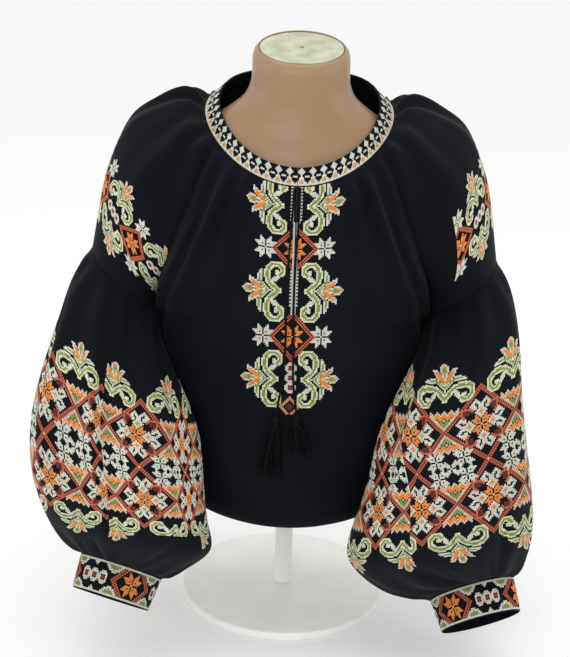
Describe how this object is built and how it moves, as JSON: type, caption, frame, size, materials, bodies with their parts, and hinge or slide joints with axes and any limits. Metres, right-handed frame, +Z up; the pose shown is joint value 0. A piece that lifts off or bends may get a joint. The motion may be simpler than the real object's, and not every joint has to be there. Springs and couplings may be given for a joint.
{
  "type": "vyshyvanka shirt on a dress form",
  "caption": "Black long-sleeved peasant shirt with cross-stitch panels, gathered neck, full sleeves and tasselled ties, worn by a limbless dress form on a pole and round foot.",
  "frame": {"origin": "centre of the underside of the stand's round foot, on the floor", "axes": "+Z up, +X towards the wearer's left sleeve, -Y out of the shirt's front"},
  "size_m": [0.5733, 0.3461, 0.6992],
  "materials": {
    "black_cloth": "matt black plain weave",
    "black_embroidered_cloth": "matt black plain weave with cross-stitch panels",
    "black_cord": "twisted black cord",
    "black_thread": "black thread",
    "form_plastic": "skin-beige satin plastic",
    "cap_plate": "pale cream plate",
    "white_paint": "white paint"
  },
  "bodies": {
    "root": {"front": "black_embroidered_cloth", "back": "black_cloth", "upper_sleeve_right": "black_embroidered_cloth", "upper_sleeve_left": "black_embroidered_cloth", "lower_sleeve_right": "black_embroidered_cloth", "lower_sleeve_left": "black_embroidered_cloth", "cuff_right": "black_embroidered_cloth", "cuff_left": "black_embroidered_cloth", "neck_band": "black_embroidered_cloth", "tie_cord_right": "black_cord", "tie_cord_left": "black_cord", "tassel_right": "black_thread", "tassel_left": "black_thread", "dress_form": "form_plastic", "neck_cap": "cap_plate", "stand_foot": "white_paint", "stand_pole": "white_paint"}
  },
  "joints": []
}
